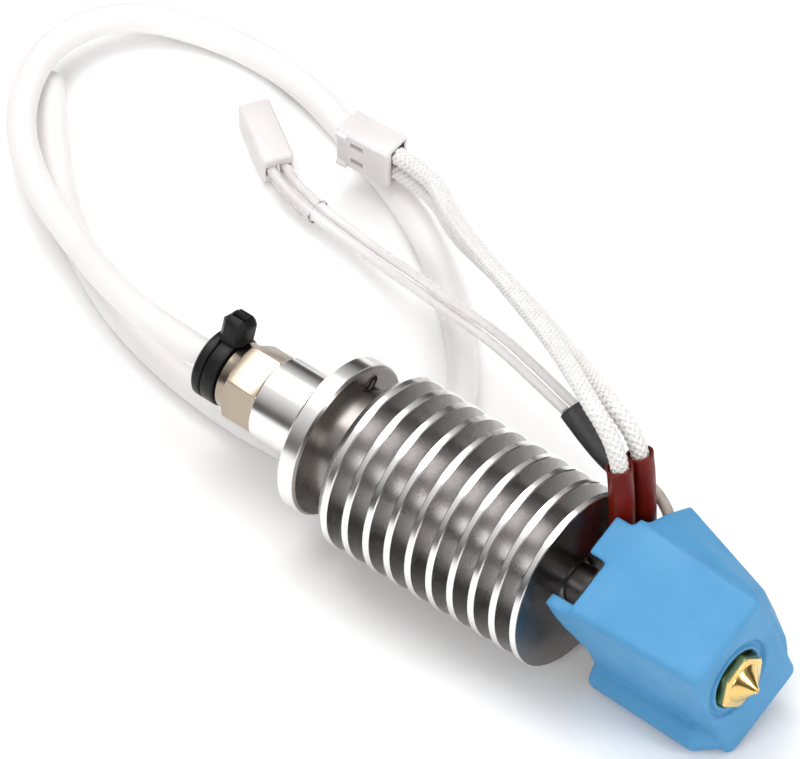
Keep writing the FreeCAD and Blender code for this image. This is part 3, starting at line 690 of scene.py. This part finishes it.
def turned_metal(name, colour, dull, roughness, rings=9000.0, depth=0.0006 * MM):
    """A metal turned about the X axis."""
    material, shader = plain_material(name, colour, roughness[0], metallic=1.0)
    tree = material.node_tree
    place = add_node(tree, "ShaderNodeTexCoord")
    surface = add_node(tree, "ShaderNodeGroup", node_tree=TURNING_RINGS)
    tree.links.new(place.outputs["Object"], surface.inputs["Position"])
    surface.inputs["Rings per metre"].default_value = rings
    surface.inputs["Roughness low"].default_value = roughness[0]
    surface.inputs["Roughness high"].default_value = roughness[1]
    surface.inputs["Colour"].default_value = (*colour, 1.0)
    surface.inputs["Dull colour"].default_value = (*dull, 1.0)
    tree.links.new(surface.outputs["Colour"], shader.inputs["Base Color"])
    tree.links.new(surface.outputs["Roughness"], shader.inputs["Roughness"])
    bumped(tree, shader, surface.outputs["Height"], depth)
    return material


FIN_RIM_R = 12.3 * MM
# painted shade: the fins' faces and the core between the fins take this darker colour for the shade between
# the fins
FIN_FACE_SHADE_COLOUR = (0.56, 0.545, 0.54)
# painted shade, deeper: on the flange's back and the core up to the first fin, and on the last fin's end face
# beside the sock
SHADED_COLOUR = (0.27, 0.25, 0.235)
FLANGE_BACK_SHADE_X = (2.7 * MM, 7.65 * MM)
END_FACE_SHADE_X = (41.2 * MM, 60.0 * MM)
heat_sink_metal_painted_shade = turned_metal("heat_sink_metal_painted_shade", (0.86, 0.85, 0.84), (0.76, 0.74, 0.73), (0.17, 0.27))
heat_sink_tree = heat_sink_metal_painted_shade.node_tree
rings = next(node for node in heat_sink_tree.nodes if node.type == "GROUP")
on_rim = spread(
    heat_sink_tree, rings.outputs["Radius"], 0.0, 1.0, FIN_RIM_R - 0.05 * MM, FIN_RIM_R + 0.05 * MM)
before_fins = spread(heat_sink_tree, rings.outputs["Along"], 1.0, 0.0, 2.6 * MM, 2.8 * MM)
bright_part = node_math(heat_sink_tree, "MAXIMUM", on_rim, before_fins)
# the painted shade goes everywhere except on the rims and the neck
shaded_face_colour = mixed(heat_sink_tree, bright_part, FIN_FACE_SHADE_COLOUR, rings.outputs["Colour"])
# paints the deeper shade into these two bands along X
for low, high in (FLANGE_BACK_SHADE_X, END_FACE_SHADE_X):
    above = spread(heat_sink_tree, rings.outputs["Along"], 0.0, 1.0, low - 0.03 * MM, low + 0.03 * MM)
    below = spread(heat_sink_tree, rings.outputs["Along"], 1.0, 0.0, high - 0.03 * MM, high + 0.03 * MM)
    shade_band = node_math(heat_sink_tree, "MULTIPLY", above, below)
    shaded_face_colour = mixed(heat_sink_tree, shade_band, shaded_face_colour, SHADED_COLOUR)
heat_sink_tree.links.new(shaded_face_colour, heat_sink_tree.nodes["Principled BSDF"].inputs["Base Color"])
duller = node_math(heat_sink_tree, "MULTIPLY", node_math(heat_sink_tree, "SUBTRACT", 1.0, bright_part), 0.05)
face_roughness = node_math(heat_sink_tree, "ADD", rings.outputs["Roughness"], duller)
heat_sink_tree.links.new(face_roughness, heat_sink_tree.nodes["Principled BSDF"].inputs["Roughness"])
heat_sink = finished_copy("finned_heat_sink", "heat_sink", heat_sink_metal_painted_shade)

FLANGE_HOLE_CIRCLE_R = 8.5 * MM
FLANGE_HOLE_R = 1.25 * MM
FLANGE_HOLE_ANGLE = math.radians(56.0)
FLANGE_T = 3.0 * MM
THREAD_PITCH = 0.5 * MM
THREAD_INSET = 0.1 * MM     # from each face of the flange
THREAD_LENGTH = FLANGE_T - 2.0 * THREAD_INSET
# The ridges are thick enough to cover the hole's whole wall, and their dark metal is painted shade inside the
# holes.
THREAD_DEPTH = 0.27 * MM
thread_painted_shade = turned_metal("thread_painted_shade", (0.24, 0.225, 0.215), (0.17, 0.16, 0.15), (0.25, 0.4))


def thread_tree():
    """A helical ridge on the wall of a hole, along the carrier's X axis."""
    tree, start, end = geometry_tree("tapped_thread", [
        ("Radius", "NodeSocketFloat"), ("Turns", "NodeSocketFloat"), ("Length", "NodeSocketFloat"),
        ("Ridge", "NodeSocketFloat"), ("Material", "NodeSocketMaterial")])
    link = tree.links.new
    spiral = tree.nodes.new("GeometryNodeCurveSpiral")
    spiral.inputs["Resolution"].default_value = 32
    link(start.outputs["Turns"], spiral.inputs["Rotations"])
    link(start.outputs["Radius"], spiral.inputs["Start Radius"])
    link(start.outputs["Radius"], spiral.inputs["End Radius"])
    link(start.outputs["Length"], spiral.inputs["Height"])
    section = tree.nodes.new("GeometryNodeCurvePrimitiveCircle")
    section.inputs["Resolution"].default_value = 4
    link(start.outputs["Ridge"], section.inputs["Radius"])
    ridge = tree.nodes.new("GeometryNodeCurveToMesh")
    link(spiral.outputs[0], ridge.inputs["Curve"])
    link(section.outputs[0], ridge.inputs["Profile Curve"])
    ridge.inputs["Fill Caps"].default_value = True
    laid = tree.nodes.new("GeometryNodeTransform")
    laid.inputs["Rotation"].default_value = (0.0, math.pi / 2.0, 0.0)
    link(ridge.outputs[0], laid.inputs["Geometry"])
    placed = tree.nodes.new("GeometryNodeInstanceOnPoints")
    link(start.outputs["Geometry"], placed.inputs["Points"])
    link(laid.outputs[0], placed.inputs["Instance"])
    finish_tree(tree, placed.outputs[0], start, end)
    return tree


hole_points = []
for half_turn in (0.0, math.pi):
    angle = FLANGE_HOLE_ANGLE + half_turn
    across, up = FLANGE_HOLE_CIRCLE_R * math.cos(angle), FLANGE_HOLE_CIRCLE_R * math.sin(angle)
    hole_points.append((THREAD_INSET, across, up))
hole_mesh = bpy.data.meshes.new("flange_holes")
hole_mesh.from_pydata(hole_points, [], [])
flange_threads = grown("flange_threads", new_object("flange_holes", hole_mesh), thread_tree(), {
    "Radius": FLANGE_HOLE_R, "Turns": THREAD_LENGTH / THREAD_PITCH, "Length": THREAD_LENGTH,
    "Ridge": THREAD_DEPTH, "Material": thread_painted_shade}, smooth=False)
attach(flange_threads, "hotend")

# ---- Push-fit coupler with its collet, grip ring and seal ----
# Nickel-plated brass hexagon screwed into the neck; the black acetal collet is held
# out by a nylon tie, so that the tube can't slip.
warm_nickel = turned_metal("warm_nickel", (0.40, 0.34, 0.27), (0.31, 0.26, 0.20), (0.16, 0.28), 6000.0)
black_acetal, acetal_shader = moulded_material(
    "black_acetal", (0.007, 0.007, 0.0075), (0.014, 0.014, 0.015), 2500.0, (0.26, 0.4), 0.02 * MM, 400.0)
acetal_shader.inputs["Specular IOR Level"].default_value = 0.2
spring_steel = turned_metal("spring_steel", (0.60, 0.60, 0.61), (0.45, 0.45, 0.46), (0.2, 0.3))
seal_rubber = moulded_material(
    "seal_rubber", (0.02, 0.02, 0.02), (0.03, 0.03, 0.03), 3000.0, (0.5, 0.65), 0.01 * MM, 400.0)[0]
finished_copy("coupler_hexagon", "coupler_body", warm_nickel, edge=0.06 * MM)
finished_copy("release_collet", "coupler_collet", black_acetal, edge=0.08 * MM)
frame["nodes"]["coupler_grip_ring"].material_slots[0].material = spring_steel
frame["nodes"]["coupler_seal"].material_slots[0].material = seal_rubber

# ---- Nylon cable tie round the collet ----
# One strap round the collet's sleeve, pulled through its ratchet head and cut off.
tie_nylon, tie_shader = moulded_material(
    "tie_nylon", (0.006, 0.006, 0.0065), (0.013, 0.013, 0.013), 1800.0, (0.28, 0.42), 0.03 * MM, 500.0)
tie_shader.inputs["Specular IOR Level"].default_value = 0.2
finished_copy("tie_strap_and_head", "cable_tie", tie_nylon, edge=0.15 * MM)

# ---- Heat break, heater block, screws and cartridge ----
# Turned stainless tube between heat sink and block; milled aluminium block with a
# drawn-steel heater cartridge clamped by a set screw.
# painted shade: the heat break's steel is coloured nearly black for the shade it sits in between the heat
# sink and the sock
shaded_stainless = turned_metal("stainless_steel", (0.16, 0.15, 0.15), (0.10, 0.09, 0.09), (0.28, 0.4))
milled_aluminium = turned_metal("milled_aluminium", (0.70, 0.69, 0.68), (0.58, 0.57, 0.55), (0.3, 0.42))
zinc_steel = turned_metal("zinc_steel", (0.42, 0.42, 0.43), (0.32, 0.32, 0.33), (0.25, 0.4))
drawn_steel = turned_metal("drawn_steel", (0.56, 0.55, 0.53), (0.44, 0.42, 0.39), (0.25, 0.4))
finished_copy("heat_break_tube", "heat_break", shaded_stainless)
finished_copy("milled_heater_block", "heater_block", milled_aluminium)
finished_copy("clamp_screws", "block_screws", zinc_steel)
finished_copy("cartridge_sheath", "heater_cartridge", drawn_steel, edge=0.15 * MM)
finished_copy("thermistor_cap", "thermistor_bead", drawn_steel, edge=0.08 * MM)

# ---- Nozzle ----
# Turned brass with a 7 mm hexagon and a bright cone; screwed into the block.
nozzle_brass = turned_metal("nozzle_brass", (0.83, 0.58, 0.22), (0.66, 0.44, 0.15), (0.12, 0.24), 7000.0)
finished_copy("brass_nozzle", "nozzle", nozzle_brass, edge=0.05 * MM)

# ---- Silicone sock ----
# Moulded blue silicone rubber, pulled over the block; its edges are soft and its
# skin is matte, with tabs towards the heat sink and lobes over sensor and screw.
SOCK_VOXEL = 0.28 * MM
blue_silicone, silicone_shader = moulded_material(
    "blue_silicone", (0.066, 0.285, 0.53), (0.057, 0.26, 0.495), 2600.0, (0.52, 0.64), 0.03 * MM, 180.0)
silicone_shader.inputs["Subsurface Weight"].default_value = 0.15
silicone_shader.inputs["Subsurface Radius"].default_value = (0.2, 0.5, 1.0)
silicone_shader.inputs["Subsurface Scale"].default_value = 0.8 * MM
sock = finished_copy("silicone_sock_skin", "silicone_sock", blue_silicone)
remesh = sock.modifiers.new("skin", "REMESH")
remesh.mode = "VOXEL"
remesh.voxel_size = SOCK_VOXEL
softened = sock.modifiers.new("soft_edges", "SMOOTH")
softened.factor = 0.5
softened.iterations = 6
bpy.context.view_layer.update()
sock_mesh = bpy.data.meshes.new_from_object(sock.evaluated_get(bpy.context.evaluated_depsgraph_get()))
sock.modifiers.clear()
sock.data = sock_mesh
sock_mesh.shade_smooth()
